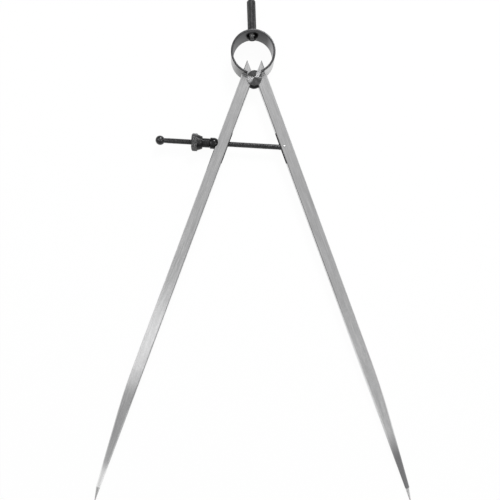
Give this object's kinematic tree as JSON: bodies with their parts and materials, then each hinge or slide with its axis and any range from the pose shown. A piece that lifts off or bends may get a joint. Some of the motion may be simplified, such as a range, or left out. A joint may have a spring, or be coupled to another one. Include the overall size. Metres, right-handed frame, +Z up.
{
  "type": "spring dividers",
  "caption": "Spring dividers with flat tapered legs, a ring bow spring with a grip, and a side screw with a knurled nut that sets the opening.",
  "frame": {"origin": "under the middle of the bounding box, on the surface the dividers lie on", "axes": "+Z up, out of the dividers' upper face; +Y from the points to the grip; +X from the nut's side to the right leg"},
  "size_m": [0.2106, 0.3332, 0.0144],
  "materials": {
    "leg_steel": "ground lengthwise, satin",
    "turned_steel": "turned face, dark edge",
    "spring_steel": "tempered spring steel, satin, dark cut edges",
    "blackened_steel": "oil blackened, half gloss",
    "nut_steel": "oil blackened, knurled"
  },
  "bodies": {
    "head": {"bow_spring": "spring_steel", "grip_stud": "blackened_steel", "grip_washer": "blackened_steel", "grip_nut": "blackened_steel", "fulcrum_stud": "turned_steel"},
    "left_leg": {"left_leg": "leg_steel"},
    "right_leg": {"right_leg": "leg_steel", "pivot_pin": "leg_steel"},
    "adjusting_screw": {"adjusting_screw": "blackened_steel"},
    "thrust_washer": {"thrust_washer": "blackened_steel"},
    "adjusting_nut": {"adjusting_nut": "nut_steel"}
  },
  "joints": [
    {"name": "left_leg_swing", "type": "hinge", "parent": "head", "child": "left_leg", "pos_m": [0, 0.11438, 0.00686], "axis": [0, 0.0209, -0.9998], "range_deg": [-20.3, 11.5], "deforming": ["bow_spring"]},
    {"name": "right_leg_swing", "type": "hinge", "parent": "head", "child": "right_leg", "pos_m": [0, 0.11438, 0.00686], "axis": [0, -0.0209, 0.9998], "range_deg": [-20.3, 11.5], "deforming": ["bow_spring"]},
    {"name": "screw_swing", "type": "hinge", "parent": "right_leg", "child": "adjusting_screw", "pos_m": [0.01981, 0.06947, 0.00592], "axis": [0, -0.0209, 0.9998], "range_deg": [-12.4, 21.8]},
    {"name": "washer_slide", "type": "slide", "parent": "adjusting_screw", "child": "thrust_washer", "axis": [-0.9985, 0.0547, 0.0011], "range_m": [-0.0308, 0.0175]},
    {"name": "nut_spin", "type": "hinge", "parent": "thrust_washer", "child": "adjusting_nut", "pos_m": [-0.0293, 0.07216, 0.00598], "axis": [-0.9985, 0.0547, 0.0011], "continuous": true}
  ],
  "couplings": [
    {"joint": "right_leg_swing", "follows": "left_leg_swing", "ratio": 1},
    {"joint": "screw_swing", "follows": "left_leg_swing", "ratio": -1.07},
    {"joint": "washer_slide", "follows": "left_leg_swing", "m_per_rad": 0.086572}
  ]
}
